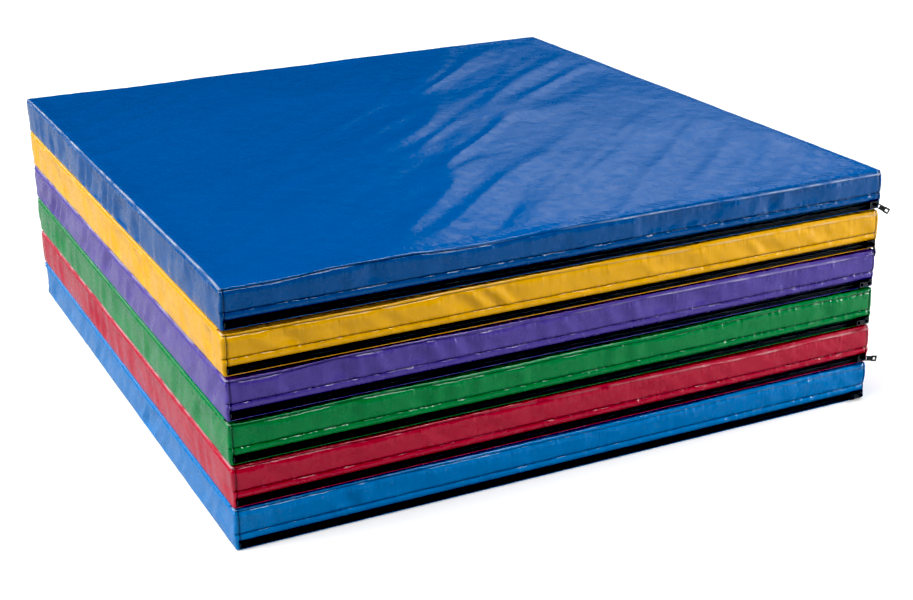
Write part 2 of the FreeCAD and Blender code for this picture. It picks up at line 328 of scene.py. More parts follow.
# %% Vinyl colour
def vinyl_colour(material, place, colour):
    """The vinyl's colour: cloudy, with painted shade in its seams and painted highlights on its
    beads.
    """
    cloudy = add(
        material, "ShaderNodeTexNoise", {"Vector": place, "Scale": CLOUDS, "Detail": 3.0}
    )
    base = linear(colour)
    darker = [c * CLOUD_SHADE for c in base[:3]] + [1.0]
    tint = add(
        material,
        "ShaderNodeMix",
        {"Factor": cloudy.outputs["Fac"], "A": base, "B": darker},
        data_type="RGBA",
    )
    # painted shade: the seam attribute darkens seam grooves to a small part of the colour, as their
    # shadow
    seam_shade_mask = add(material, "ShaderNodeAttribute", attribute_name="seam")
    shaded = add(material, "ShaderNodeMix", {
        "Factor": seam_shade_mask.outputs["Fac"],
        "A": tint.outputs["Result"],
        "B": [c * SEAM_SHADE for c in base[:3]] + [1.0],
    }, data_type="RGBA")
    # painted highlight, partly wear: beads and the left wall's top edge are mixed towards white
    highlight_mask = add(material, "ShaderNodeAttribute", attribute_name="highlight_and_wear")
    highlight_share = add(
        material,
        "ShaderNodeMath",
        {0: highlight_mask.outputs["Fac"], 1: BEAD_HIGHLIGHT_AND_WEAR},
        operation="MULTIPLY",
    )
    paled = add(
        material,
        "ShaderNodeMix",
        {"Factor": highlight_share.outputs[0], "A": shaded.outputs["Result"], "B": linear("#ffffff")},
        data_type="RGBA",
    )
    return paled.outputs["Result"]


print("darkest royal patch:", [round(c * CLOUD_SHADE, 3) for c in linear(VINYL["royal"])[:3]])


# %% Vinyl bumps
def vinyl_bumps(material, place):
    """The vinyl's normal, from broad creases down to its grain."""
    creases = add(
        material,
        "ShaderNodeTexNoise",
        {"Vector": place, "Scale": 1 / CREASE_WIDTH, "Detail": 2.0, "Distortion": 0.6},
    )
    grain = add(
        material, "ShaderNodeTexNoise", {"Vector": place, "Scale": 1 / GRAIN_WIDTH, "Detail": 2.0}
    )
    creased = add(
        material,
        "ShaderNodeBump",
        {"Height": creases.outputs["Fac"], "Strength": 0.1, "Distance": CREASE_DEPTH},
    )
    narrow = add(
        material,
        "ShaderNodeMapping",
        {"Vector": place, "Scale": (1 / TUCK_WIDTH, 1 / TUCK_WIDTH, TUCK_STRETCH / TUCK_WIDTH)},
    )
    tucks = add(
        material,
        "ShaderNodeTexNoise",
        {"Vector": narrow.outputs["Vector"], "Scale": 1.0, "Detail": 1.0, "Distortion": 0.3},
    )
    near_seam = add(material, "ShaderNodeAttribute", attribute_name="tucks")
    tuck_height = add(
        material,
        "ShaderNodeMath",
        {0: tucks.outputs["Fac"], 1: near_seam.outputs["Fac"]},
        operation="MULTIPLY",
    )
    tucked = add(material, "ShaderNodeBump", {
        "Height": tuck_height.outputs[0],
        "Strength": 0.7,
        "Distance": TUCK_DEPTH,
        "Normal": creased.outputs["Normal"],
    })
    woven = add(material, "ShaderNodeBump", {
        "Height": weave_height(material, place, SCRIM_PITCH),
        "Strength": 0.05,
        "Distance": WEAVE_DEPTH,
        "Normal": tucked.outputs["Normal"],
    })
    grained = add(material, "ShaderNodeBump", {
        "Height": grain.outputs["Fac"],
        "Strength": 0.06,
        "Distance": GRAIN_DEPTH,
        "Normal": woven.outputs["Normal"],
    })
    return grained.outputs["Normal"]


print("deepest bump: tucks of", round(TUCK_DEPTH / MM, 1), "mm beside the seams")


# %% Vinyl material
def make_vinyl(name, colour):
    material, output = new_material(f"glossy_vinyl_{name}")
    place = add(material, "ShaderNodeTexCoord").outputs["Object"]
    scuffs = add(
        material, "ShaderNodeTexNoise", {"Vector": place, "Scale": SCUFFS, "Detail": 5.0}
    )
    gloss = add(material, "ShaderNodeMapRange", {
        "Value": scuffs.outputs["Fac"],
        "From Min": 0.3,
        "From Max": 0.7,
        "To Min": GLOSSIEST,
        "To Max": DULLEST,
    })
    shader = add(material, "ShaderNodeBsdfPrincipled", {
        "Base Color": vinyl_colour(material, place, colour),
        "Roughness": gloss.outputs["Result"],
        "IOR": VINYL_IOR,
        "Normal": vinyl_bumps(material, place),
    })
    return finish_material(material, output, shader)


vinyl = {name: make_vinyl(name, colour) for name, colour in VINYL.items()}
print("vinyl colours:", len(vinyl))

# %% [markdown]
# ## Working by hand, in code
# The pieces below start as primitives and are shaped in edit mode. These helpers do what the
# hand does: open a piece for editing, pick its faces or edges by their place, cut it along a
# plane, and close it again. An operator acts on everything that is selected, so each piece is
# picked alone.

# %% Editing helpers
NEAR = 0.01 * MM  # points this close to a plane count as on it


def select_alone(piece):
    bpy.ops.object.select_all(action="DESELECT")
    piece.select_set(True)
    bpy.context.view_layer.objects.active = piece


def open_piece(piece):
    """Selects one piece alone and opens it for editing, with all of it selected."""
    select_alone(piece)
    bpy.ops.object.mode_set(mode="EDIT")
    bpy.ops.mesh.select_mode(type="FACE")
    bpy.ops.mesh.select_all(action="SELECT")


def close_piece():
    bpy.ops.object.mode_set(mode="OBJECT")


def pick(piece, kind, test):
    """In edit mode, selects the edges or faces whose points all pass the test."""
    bpy.ops.mesh.select_all(action="DESELECT")
    bpy.ops.mesh.select_mode(type="EDGE" if kind == "edges" else "FACE")
    shape = bmesh.from_edit_mesh(piece.data)
    count = 0
    for part in getattr(shape, kind):
        if all(test(v.co) for v in part.verts):
            part.select = True
            count += 1
    shape.select_flush_mode()
    bmesh.update_edit_mesh(piece.data)
    return count


def cut(place, normal):
    """In edit mode, cuts the whole piece with a plane and keeps both sides."""
    bpy.ops.mesh.select_all(action="SELECT")
    bpy.ops.mesh.bisect(plane_co=place, plane_no=normal)


print("a point within", round(NEAR / MM, 3), "mm of a plane is on it")


# %% Whole pieces
def apply_all(piece):
    """Applies every modifier of a piece, from the first to the last."""
    select_alone(piece)
    for name in [m.name for m in piece.modifiers]:
        bpy.ops.object.modifier_apply(modifier=name)


def add_block(name, low, high):
    """A cube primitive stretched to two corners, with its place and size in its mesh."""
    bpy.ops.mesh.primitive_cube_add(size=1, location=(Vector(low) + Vector(high)) / 2)
    block = bpy.context.object
    block.name = block.data.name = name
    block.scale = Vector(high) - Vector(low)
    bpy.ops.object.transform_apply(location=True, rotation=True, scale=True)
    return block


def own_copy(piece, name):
    """A copy of a piece with its own mesh."""
    twin = piece.copy()
    twin.data = piece.data.copy()
    twin.name = twin.data.name = name
    scene.collection.objects.link(twin)
    return twin


def repeat(piece, pitch, count):
    """Lays copies of a piece in a row along x."""
    array = piece.modifiers.new("row", "ARRAY")
    array.use_relative_offset = False
    array.use_constant_offset = True
    array.constant_offset_displace = (pitch, 0, 0)
    array.count = count
    apply_all(piece)


def points_of(piece):
    """A piece's points as rows of x, y, z."""
    flat = np.empty(len(piece.data.vertices) * 3)
    piece.data.vertices.foreach_get("co", flat)
    return flat.reshape(-1, 3)


def move_points(piece, points):
    """Puts a piece's points at these places."""
    piece.data.vertices.foreach_set("co", points.ravel())
    piece.data.update()


# %% [markdown]
# ## The covers, cut and sewn
# A cover is a top sheet, a base sheet and a band round the side. It starts as a block the size
# of the lowest panel. Its upright corners and long edges are bevelled, because a foam corner
# never stays sharp, and planes cut it into rows and columns. The rows lie where the seams run,
# so that each seam can be drawn in along a row of points. An extrusion presses the zip's
# channel into the front wall, and its rim is creased so that the later smoothing keeps it.

# %% The cover's block
sheet_low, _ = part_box("sky_base_sheet")
_, sheet_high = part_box("sky_top_sheet")
chain_low, chain_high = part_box("sky_zip_chain")
_, slider_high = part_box("sky_zip_slider")
stops_low, stops_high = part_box("sky_zip_stops")

CORNER_ROUND = 4 * MM
TOP_ROUND, BASE_ROUND = 2.8 * MM, 1.3 * MM
ZIP_LIP = 1.3 * MM  # vinyl under the zip
ZIP_MIDDLE = (stops_low.z + stops_high.z) / 2
ZIP_TOP = ZIP_MIDDLE + 5.5 * MM
ZIP_HALF = chain_high.x
FRONT = sheet_low.y
CHANNEL_FLOOR = slider_high.y + 0.4 * MM
TOPSTITCH = ZIP_TOP + 9.5 * MM  # height of the stitching above the zip
TOP_SEAM = sheet_high.z - 6.0 * MM  # the seam between the top sheet and the band
CORNER_SEAM = ZIP_HALF - 1.3 * MM  # where the side wall wraps onto the front
COLUMN, ROW = 10.5 * MM, 13 * MM
WALL_ROWS = [ZIP_LIP, ZIP_TOP, ZIP_TOP + 4.5 * MM, TOPSTITCH - 1.7 * MM, TOPSTITCH]
WALL_ROWS += [TOPSTITCH + 1.7 * MM, TOPSTITCH + 7 * MM, TOPSTITCH + 14 * MM]
WALL_ROWS += [TOP_SEAM - 6 * MM, TOP_SEAM - 1.7 * MM, TOP_SEAM, TOP_SEAM + 1.5 * MM]


def cut_block(low, high):
    """A block the size of a panel, rounded, and cut into rows and columns."""
    block = add_block("cover_block", low, high)
    open_piece(block)
    shape = bmesh.from_edit_mesh(block.data)
    bpy.ops.mesh.select_all(action="DESELECT")
    bpy.ops.mesh.select_mode(type="EDGE")
    for edge in shape.edges:
        edge.select = abs(edge.verts[0].co.z - edge.verts[1].co.z) > MM
    bpy.ops.mesh.bevel(offset=CORNER_ROUND, segments=3, affect="EDGES")
    for height, size in ((low.z, BASE_ROUND), (high.z, TOP_ROUND)):
        pick(block, "edges", lambda p, z=height: abs(p.z - z) < NEAR)
        bpy.ops.mesh.bevel(offset=size, segments=2, affect="EDGES")
    for height in WALL_ROWS:
        cut((0, 0, height), (0, 0, 1))
    places = [*np.linspace(-ZIP_HALF, ZIP_HALF, round(2 * ZIP_HALF / COLUMN) + 1)]
    places += [side * (CORNER_SEAM + step * MM) for side in (-1, 1) for step in (-1.6, 0)]
    for place in places:
        cut((place, 0, 0), (1, 0, 0))
    depth = high.y - low.y - 2 * CORNER_ROUND
    for place in np.linspace(-0.5, 0.5, round(depth / ROW) + 1) * depth:
        cut((0, place + (low.y + high.y) / 2, 0), (0, 1, 0))
    close_piece()
    return block


print("rows up a wall:", len(WALL_ROWS), "with the topstitch at", round(TOPSTITCH / MM, 1), "mm")


# %% The zip's channel
def in_channel(p):
    return abs(p.x) < ZIP_HALF + NEAR and ZIP_LIP - NEAR < p.z < ZIP_TOP + NEAR


def press_channel(block):
    """Presses the zip's channel into the front wall and creases its rim."""
    open_piece(block)
    pick(block, "faces", lambda p: in_channel(p) and abs(p.y - FRONT) < NEAR)
    bpy.ops.mesh.region_to_loop()
    bpy.ops.transform.edge_crease(value=1.0)
    pick(block, "faces", lambda p: in_channel(p) and abs(p.y - FRONT) < NEAR)
    inward = CHANNEL_FLOOR - FRONT
    bpy.ops.mesh.extrude_region_move(TRANSFORM_OT_translate={"value": (0, inward, 0)})
    bpy.ops.mesh.region_to_loop()
    bpy.ops.transform.edge_crease(value=1.0)
    pick(
        block,
        "edges",
        lambda p: in_channel(p)
        and abs(abs(p.x) - ZIP_HALF) < NEAR
        and abs(abs(p.z - (ZIP_LIP + ZIP_TOP) / 2) - (ZIP_TOP - ZIP_LIP) / 2) < NEAR,
    )
    bpy.ops.transform.edge_crease(value=1.0)
    close_piece()


cover_block = cut_block(sheet_low, sheet_high)
press_channel(cover_block)
print("cover block:", len(cover_block.data.polygons), "faces")

# %% [markdown]
# ## Wrinkles by simulation
# Vinyl hardly stretches, so a cover that is a little larger than its foam buckles into folds
# between its seams. A cloth simulation makes these by itself. The cover gets air pressure from
# inside, the sheets grow by a few per cent while the seams keep their length, and weak springs
# stand for the foam that they lie on. Only a few millimetres of the movement are kept, because
# the foam holds the real cover in place. Two covers are simulated. Sky and red take these two,
# green and purple take them mirrored, and yellow and royal as they are; the folds that are
# pushed in later differ on every panel.

# %% Air in the cover
FOAM_HOLD, SEAM_HOLD = 0.35, 0.8  # how firmly a point is held, from 0 to 1
GROWTH = -0.035  # a negative shrink: the sheets grow by 3.5 %
AIR_PRESSURE = 4
STEPS = 20
JITTER = 0.25 * MM  # a start that isn't perfectly flat, so that it can buckle


def simulate_folds(block, seed):
    """The movement of each of the block's points when the cover is filled with air."""
    balloon = own_copy(block, "balloon")
    rest = points_of(balloon)
    jitter = np.random.default_rng(seed).normal(0, JITTER, rest.shape)
    move_points(balloon, rest + jitter)

    seam_distance = np.minimum(np.abs(rest[:, 2] - TOP_SEAM), np.abs(rest[:, 2] - TOPSTITCH))
    in_zip = (rest[:, 1] < FRONT + 6 * MM) & (rest[:, 2] < ZIP_TOP + 2 * MM)
    loose = balloon.vertex_groups.new(name="loose")
    held = balloon.vertex_groups.new(name="held")
    held.add(range(len(rest)), FOAM_HOLD, "REPLACE")
    held.add(np.flatnonzero(seam_distance < 2 * MM).tolist(), SEAM_HOLD, "REPLACE")
    held.add(np.flatnonzero(in_zip).tolist(), 1.0, "REPLACE")
    loose.add(np.flatnonzero((seam_distance > 2 * MM) & ~in_zip).tolist(), 1.0, "REPLACE")

    cloth = balloon.modifiers.new("air", "CLOTH")
    cloth.settings.quality = 4
    cloth.settings.mass = 0.4
    cloth.settings.tension_stiffness = 20
    cloth.settings.compression_stiffness = 20
    cloth.settings.bending_stiffness = 0.1
    cloth.settings.use_pressure = True
    cloth.settings.uniform_pressure_force = AIR_PRESSURE
    cloth.settings.vertex_group_mass = "held"
    cloth.settings.pin_stiffness = 1.0
    cloth.settings.vertex_group_shrink = "loose"
    cloth.settings.shrink_min = 0.0
    cloth.settings.shrink_max = GROWTH
    cloth.settings.effector_weights.gravity = 0
    cloth.collision_settings.use_collision = False
    for step in range(1, STEPS + 1):
        scene.frame_set(step)
    baked = balloon.evaluated_get(bpy.context.evaluated_depsgraph_get())
    moved = np.empty(len(rest) * 3)
    baked.data.vertices.foreach_get("co", moved)
    bpy.data.objects.remove(balloon)
    scene.frame_set(1)
    return moved.reshape(-1, 3) - rest


folds = [simulate_folds(cover_block, seed) for seed in (3, 8)]
for field in folds:
    print("mm of movement, middle and most:", np.percentile(np.abs(field) / MM, (50, 100)).round(2))

# %% [markdown]
# ## Seams, rolls and long folds
# After the simulation comes one subdivision, and then the shapes that a sewing machine and the
# hands leave. Each is a small push along the outward direction, worked out from where a point
# lies: a groove at every seam, a roll between the top seam and the edge, a bulge between
# seams, upright folds on the walls and long diagonal folds on the top, where the cover is
# pulled towards its far corner. A lattice of random numbers, smoothed between its points,
# keeps the folds irregular.

# %% Fold helpers
LATTICE = (97, 89)  # the table's rows and columns, after which it repeats


def lattice(u, v, seed):
    """Smooth random heights from -1 to 1 over the plane of u and v."""
    table = np.random.default_rng(seed).uniform(-1, 1, LATTICE)
    column, row = np.floor(u).astype(int), np.floor(v).astype(int)
    s, t = u - column, v - row
    s, t = s * s * (3 - 2 * s), t * t * (3 - 2 * t)
    corners = [
        table[(column + i) % LATTICE[0], (row + j) % LATTICE[1]] for i in (0, 1) for j in (0, 1)
    ]
    near = corners[0] * (1 - t) + corners[1] * t
    far = corners[2] * (1 - t) + corners[3] * t
    return near * (1 - s) + far * s


def bell(distance, width):
    """1 at no distance, falling smoothly to 0 over about twice the width."""
    return np.exp(-((distance / width) ** 2))


def between(z, low, high):
    """A half wave: 0 at both heights and outside them, 1 half way."""
    return np.sin(math.pi * np.clip((z - low) / (high - low), 0, 1))


def crease(height):
    """Turns smooth heights into broad hollows with narrow ridges, from 0 to 0.9."""
    return 1 - np.sqrt(height**2 + 0.01)


print("a fold's ridge is", round(float(crease(0.0)), 2), "high")

# %% Where a point belongs
BULGE = {"front": 1.5 * MM, "side": 0.9 * MM}
SEAM_DEPTH = 1.3 * MM
BEAD = 1.5 * MM  # the fold of the top seam, turned out towards the right end
ROLL = 0.7 * MM  # the soft roll between the top seam and the edge
LIP_BULGE = 1.7 * MM  # the quilted strip between the zip and its topstitching
DROOP = 3.4 * MM  # how far an edge sinks where its foam is worn
WALL_REACH = 5 * MM  # a wall's pushes fade out this far into the cover


def outwards(points, low, high):
    """How much each point belongs to each wall, to the top and to the base, from 0 to 1."""
    walls = {
        "front": np.clip(1 - (points[:, 1] - low.y) / WALL_REACH, 0, 1),
        "back": np.clip(1 - (high.y - points[:, 1]) / WALL_REACH, 0, 1),
        "left": np.clip(1 - (points[:, 0] - low.x) / WALL_REACH, 0, 1),
        "right": np.clip(1 - (high.x - points[:, 0]) / WALL_REACH, 0, 1),
    }
    top = np.clip((points[:, 2] - high.z + 1.2 * MM) / (1.2 * MM), 0, 1)
    base = np.clip(1 - (points[:, 2] - low.z) / (0.6 * MM), 0, 1)
    return walls, top, base


def seam_height(wall, along):
    """The front's top seam climbs onto the edge towards its left end."""
    climb = np.clip(0.45 - along / 0.6, 0, 1) if wall == "front" else 0 * along
    return TOP_SEAM + 3.2 * MM * climb


def bead_share(wall, along, proud):
    """0 where the top seam lies in a groove, 1 where its fold stands out as a bead."""
    if wall != "front":
        return 0.7 + 0 * along
    return proud * np.clip(0.5 + along / 0.5, 0, 1)


def edge_distance(x, y):
    """How far a point lies from the nearest side of the panel."""
    return np.minimum(sheet_high.x - np.abs(x), sheet_high.y - np.abs(y))


ends = np.array([sheet_low.x, sheet_high.x])
print("top seam at the front's ends, in mm:", (seam_height("front", ends) / MM).round(1))

# %% Pushing a wall
WIDE_FOLD, FINE_FOLD = 7.5 * MM, 2.0 * MM  # heights of the upright folds
LEFT_SHARE = 1.5  # the left wall is the most folded


def wall_push(wall, along, z, seed, lively, proud):
    """How far a wall stands out at each point, in metres."""
    front = wall == "front"
    seam = seam_height(wall, along)
    foot = TOPSTITCH if front else 0.0
    push = BULGE["front" if front else "side"] * between(z, foot, seam)
    turned = bead_share(wall, along, proud)
    push += (BEAD * turned - SEAM_DEPTH * (1 - turned)) * bell(z - seam, 1.2 * MM)
    push += (ROLL * (1 - turned) - 1.2 * MM * turned) * between(z, seam, sheet_high.z - 0.5 * MM)
    if front:
        push -= SEAM_DEPTH * bell(z - TOPSTITCH, 1.3 * MM)
        quilting = 0.85 + 0.5 * lattice(along / 0.011, z * 0, seed + 5)
        push += LIP_BULGE * quilting * between(z, ZIP_TOP - 1 * MM, TOPSTITCH)
    lean = 0.3 + 0.5 * (seed % 3 - 1)
    slant = along + lean * (z - 0.03) + 0.006 * lattice(along / 0.09, z / 0.03, seed + 1)
    wide = crease(lattice(slant / 0.034, z / 0.11, seed + 2))
    fine = crease(lattice(slant / 0.013, z / 0.05, seed + 3))
    where = 0.45 + 0.55 * np.clip(lattice(along / 0.14, z * 0, seed + 4) + 0.3, 0, 1)
    if wall == "left":
        lively = LEFT_SHARE * lively
    fold = lively * where * (WIDE_FOLD * (wide - 0.7) + FINE_FOLD * (fine - 0.7))
    low_end = TOPSTITCH if front else 2 * MM
    return push + fold * np.sqrt(between(z, low_end, seam))


print("upright folds up to", round(WIDE_FOLD / MM, 1), "mm before they are capped")


# %% Pushing the top
def top_push(x, y, seed, lively):
    """How far the top sheet stands up at each point, in metres."""
    run = 0.72 * x + 0.69 * y
    cross = -0.69 * x + 0.72 * y
    cross = cross + 0.035 * lattice(x / 0.3, y / 0.3, seed + 1) + 0.05 * run * run
    wide = crease(lattice(cross / 0.062, run / 0.36, seed + 2)) - 0.75
    fine = crease(lattice(cross / 0.024, run / 0.19, seed + 3)) - 0.7
    soft = lattice(x / 0.16, y / 0.16, seed + 4)
    return lively * (6.5 * wide + 1.6 * fine * (0.6 + soft) + 1.2 * soft) * MM


print("the top's folds run at", round(math.degrees(math.atan2(0.69, 0.72))), "degrees")

# %% Pushing all four walls
WAYS = {"front": (0, -1), "back": (0, 1), "left": (-1, 0), "right": (1, 0)}
WALL_OUT = {"front": 2.4 * MM, "back": 2.4 * MM, "left": 1.5 * MM, "right": 1.5 * MM}
WALL_IN = 4.5 * MM
DROOP_REACH = 16 * MM  # how far in from the edge it sinks


def push_walls(x, y, z, walls, top, seed, lively, proud):
    """The push of every point by the walls that it belongs to, and by their sunken edges."""
    in_zip = (np.abs(x) < ZIP_HALF + 1 * MM) & (z < ZIP_TOP + 0.3 * MM) & (y < FRONT + 8 * MM)
    free = np.where(in_zip, 0.0, 1.0)
    insets = {
        "front": y - sheet_low.y,
        "back": sheet_high.y - y,
        "left": x - sheet_low.x,
        "right": sheet_high.x - x,
    }
    push = np.zeros((len(x), 3))
    for number, (wall, (way_x, way_y)) in enumerate(WAYS.items()):
        along = x if way_y else y
        amount = wall_push(wall, along, z, seed + 20 * number, lively, proud)
        amount = np.clip(amount, -WALL_IN, WALL_OUT[wall]) * walls[wall] * free * (1 - 0.6 * top)
        push[:, 0] += way_x * amount
        push[:, 1] += way_y * amount
        droop = np.clip(lattice(along / 0.15, z * 0, seed + 20 * number + 6) + 0.25, 0, 1)
        near_top = np.clip((z - TOP_SEAM + 16 * MM) / (20 * MM), 0, 1)
        share = 1.0 if way_y else 0.2  # the hinge strips keep the side edges level
        sunken = near_top * np.exp(-insets[wall] / DROOP_REACH)
        push[:, 2] -= share * DROOP * lively * droop * sunken
    return push


print("walls pushed:", list(WAYS))

# %% Dressing a cover
TOP_DIP, TOP_RISE = 2.6 * MM, 2.4 * MM  # caps on the long folds of the top
EDGE_DIP = 0.6 * MM  # a shallow line just inside the top's edge
SETTLE = 0.03  # metres from the edge at which the top's folds are at their full height


def dress(cover, seed, lively_walls, lively_top, proud):
    """Pushes seams and folds into a cover that has just been subdivided."""
    walls, top, base = outwards(cover_rest, sheet_low, sheet_high)
    x, y, z = cover_rest.T
    push = push_walls(x, y, z, walls, top, seed, lively_walls, proud)
    upright = bell(np.abs(x) - CORNER_SEAM, 0.9 * MM) * walls["front"] * (z > ZIP_TOP - 0.1 * MM)
    push[:, 1] += 1.1 * MM * upright * (1 - top)
    seam = seam_height("front", x)
    # painted shade mask: the top seam's groove, the topstitch and the corner seams
    seams = bell(z - seam, 0.9 * MM) * (1 - bead_share("front", x, proud)) * walls["front"]
    seams = np.maximum(seams, bell(z - TOPSTITCH, 0.8 * MM) * walls["front"])
    seams = np.maximum(seams, upright)
    tucks = bell(z - TOP_SEAM + 3 * MM, 7 * MM) + bell(z - TOPSTITCH, 7 * MM) * walls["front"]
    edge = edge_distance(x, y)
    tucks = np.clip(tucks + 0.6 * top * bell(edge, 0.02), 0, 1)
    # painted highlight mask, partly wear: the front bead and the left wall's top edge
    edge_roll = walls["left"] * bell(z - sheet_high.z + 0.6 * MM, 1.2 * MM)
    highlight_and_wear = bell(z - seam - 0.6 * MM, 1.0 * MM) * bead_share("front", x, proud) * walls["front"]
    patchy = np.clip(0.7 + lattice(x / 0.02, y / 0.02, seed + 97), 0, 1)
    highlight_and_wear = np.maximum(highlight_and_wear, 1.6 * edge_roll) * patchy
    for kind, values in (("seam", seams), ("tucks", tucks), ("highlight_and_wear", highlight_and_wear)):
        attribute = cover.data.attributes.new(kind, "FLOAT", "POINT")
        attribute.data.foreach_set("value", values)
    settle = np.clip(edge / SETTLE, 0, 1)
    height = np.clip(top_push(x, y, seed + 90, lively_top), -TOP_DIP, TOP_RISE)
    push[:, 2] += top * (settle * height - EDGE_DIP * bell(edge - 5 * MM, 2 * MM))
    dents = np.clip(-top_push(x, -y, seed + 95, 0.6), 0, 2.0 * MM)
    push[:, 2] += base * settle * dents
    move_points(cover, points_of(cover) + push)


print("the top's folds rise at most", round(TOP_RISE / MM, 1), "mm")


# %% [markdown]
# ## Six covers
# Each cover is a copy of the block with its own folds: the simulated movement, capped, then a
# subdivision, and then the seams. The movement is mirrored for every other pair, and each
# panel has its own seed, so no two covers match. A cover stands for the three sheets of the
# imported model, and it moves with its panel.

# %% Mirror partners and the plain cover


def panel_lift(name):
    """How far a panel lies above the lowest one."""
    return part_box(f"{name}_base_sheet")[0].z - sheet_low.z


def subdivide(piece):
    smooth = piece.modifiers.new("smooth", "SUBSURF")
    smooth.levels = smooth.render_levels = 1
    apply_all(piece)


block_points = points_of(cover_block)
finder = KDTree(len(block_points))
for index, point in enumerate(block_points):
    finder.insert(point, index)
finder.balance()
mirror_partner = [finder.find((-x, y, z))[1] for x, y, z in block_points]

plain_cover = own_copy(cover_block, "plain_cover")
subdivide(plain_cover)
cover_rest = points_of(plain_cover)
bpy.data.objects.remove(plain_cover)
print("points in a cover:", len(block_points), "before and", len(cover_rest), "after smoothing")

# %% The covers
SIM_CAP = 2.4 * MM
SINK_CAP, BETWEEN_CAP = 1.6 * MM, 0.7 * MM  # a sheet's way in, and towards the next panel
BASE_ROOM, TOP_ROOM, OPEN_ROOM = 0.6 * MM, 0.9 * MM, 2.5 * MM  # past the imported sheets
BEAD_STRENGTH = {
    "royal": 1.0, "yellow": 0.8, "purple": 1.0, "green": 0.2, "red": 0.9, "sky": 0.35
}
FOLD_STRENGTH = {
    "royal": 1.1, "yellow": 1.1, "purple": 1.2, "green": 1.0, "red": 0.7, "sky": 0.7
}


def make_cover(name, number):
    cover = own_copy(cover_block, f"{name}_cover")
    moved = np.clip(folds[number % 2], -SIM_CAP, SIM_CAP)
    if number % 4 > 1:
        moved = moved[mirror_partner] * (-1, 1, 1)
    rest = points_of(cover)
    flat = (rest[:, 2] > sheet_high.z - 1.5 * MM) | (rest[:, 2] < 1 * MM)
    moved[flat, 2] = np.clip(moved[flat, 2], -SINK_CAP, BETWEEN_CAP)
    around_zip = (rest[:, 1] < FRONT + 9 * MM) & (rest[:, 2] < ZIP_TOP + 1 * MM)
    moved[around_zip] = 0
    move_points(cover, rest + moved)
    subdivide(cover)
    open_top = name == "royal"  # nothing lies on it
    lively_top = 1.0 if open_top else 0.5
    dress(cover, 100 * number + 7, FOLD_STRENGTH[name], lively_top, BEAD_STRENGTH[name])
    points = points_of(cover)
    lowest = sheet_low.z - BASE_ROOM
    highest = sheet_high.z + (OPEN_ROOM if open_top else TOP_ROOM)
    points[:, 2] = np.clip(points[:, 2], lowest, highest) + panel_lift(name)
    move_points(cover, points)
    bpy.ops.object.shade_smooth()
    cover.data.materials.clear()
    cover.data.materials.append(vinyl[name])
    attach(cover, f"{name}_panel")
    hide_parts(f"{name}_top_sheet", f"{name}_base_sheet", f"{name}_side_band")
    return cover


covers = {name: make_cover(name, number) for number, name in enumerate(PANELS)}
bpy.data.objects.remove(cover_block)
print("covers:", {name: len(cover.data.polygons) for name, cover in covers.items()})

# %% [markdown]
# ## Foam cores
# Each cover holds a block of polyethylene foam. It is hot-wire cut, so its faces are flat but
# faintly uneven, and its edges are soft. It shows only if the cover is opened, but a cover
# without it would be a bag. A closed-cell foam is matt, with pores near half a millimetre.

# %% Foam material
PORE = 0.9 * MM  # about twice the real size, so that it shows

foam_material, foam_output = new_material("closed_cell_polyethylene_foam")
foam_place = add(foam_material, "ShaderNodeTexCoord").outputs["Object"]
pores = add(foam_material, "ShaderNodeTexVoronoi", {"Vector": foam_place, "Scale": 1 / PORE})
pore_bump = add(
    foam_material,
    "ShaderNodeBump",
    {"Height": pores.outputs["Distance"], "Strength": 0.4, "Distance": 0.3 * MM},
)
foam_tint = add(
    foam_material,
    "ShaderNodeMix",
    {"Factor": pores.outputs["Distance"], "A": linear("#e9e6dc"), "B": linear("#d8d4c6")},
    data_type="RGBA",
)
foam_shader = add(foam_material, "ShaderNodeBsdfPrincipled", {
    "Base Color": foam_tint.outputs["Result"],
    "Roughness": 0.85,
    "Normal": pore_bump.outputs["Normal"],
})
finish_material(foam_material, foam_output, foam_shader)
print("foam pores of", round(PORE / MM, 1), "mm")

# %% Foam blocks
FOAM_INSET = Vector((5, 4, 3.6)) * MM  # room for the cover's folds
FOAM_ROUND = 5 * MM
UNEVEN = 0.3 * MM  # a hot wire's ripple


def make_foam(name, number):
    low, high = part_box(f"{name}_foam_core")
    foam = add_block(f"{name}_foam_block", low + FOAM_INSET, high - FOAM_INSET)
    open_piece(foam)
    bpy.ops.mesh.bevel(offset=FOAM_ROUND, segments=3, affect="EDGES")
    for place in np.linspace(-0.45, 0.45, 19):
        cut((place, 0, 0), (1, 0, 0))
        cut((0, place, 0), (0, 1, 0))
    close_piece()
    points = points_of(foam)
    ripple = lattice(points[:, 0] / 0.12, points[:, 1] / 0.12, 500 + number)
    points[:, 2] += UNEVEN * ripple * np.sign(points[:, 2] - (low.z + high.z) / 2)
    move_points(foam, points)
    bpy.ops.object.shade_smooth_by_angle(angle=math.radians(40))
    foam.data.materials.append(foam_material)
    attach(foam, f"{name}_panel")
    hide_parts(f"{name}_foam_core")
    return foam


foams = [make_foam(name, number) for number, name in enumerate(PANELS)]
print("foam blocks:", len(foams))

# %% [markdown]
# ## Zip tape and coil
# A coil zip has two woven polyester tapes and a nylon wire wound along their meeting edges.
# The tape is a thin strip with a rib either side of the coil, where the wire is sewn down. The
# coil is one turn of wire, copied along the zip with an array: a turn on the upper tape and,
# half a pitch on, a turn on the lower one, so that the two rows lock.

# %% Tape material
TAPE_RIB = 0.9 * MM  # woven ribs, drawn a little coarser than the real 0.5 mm

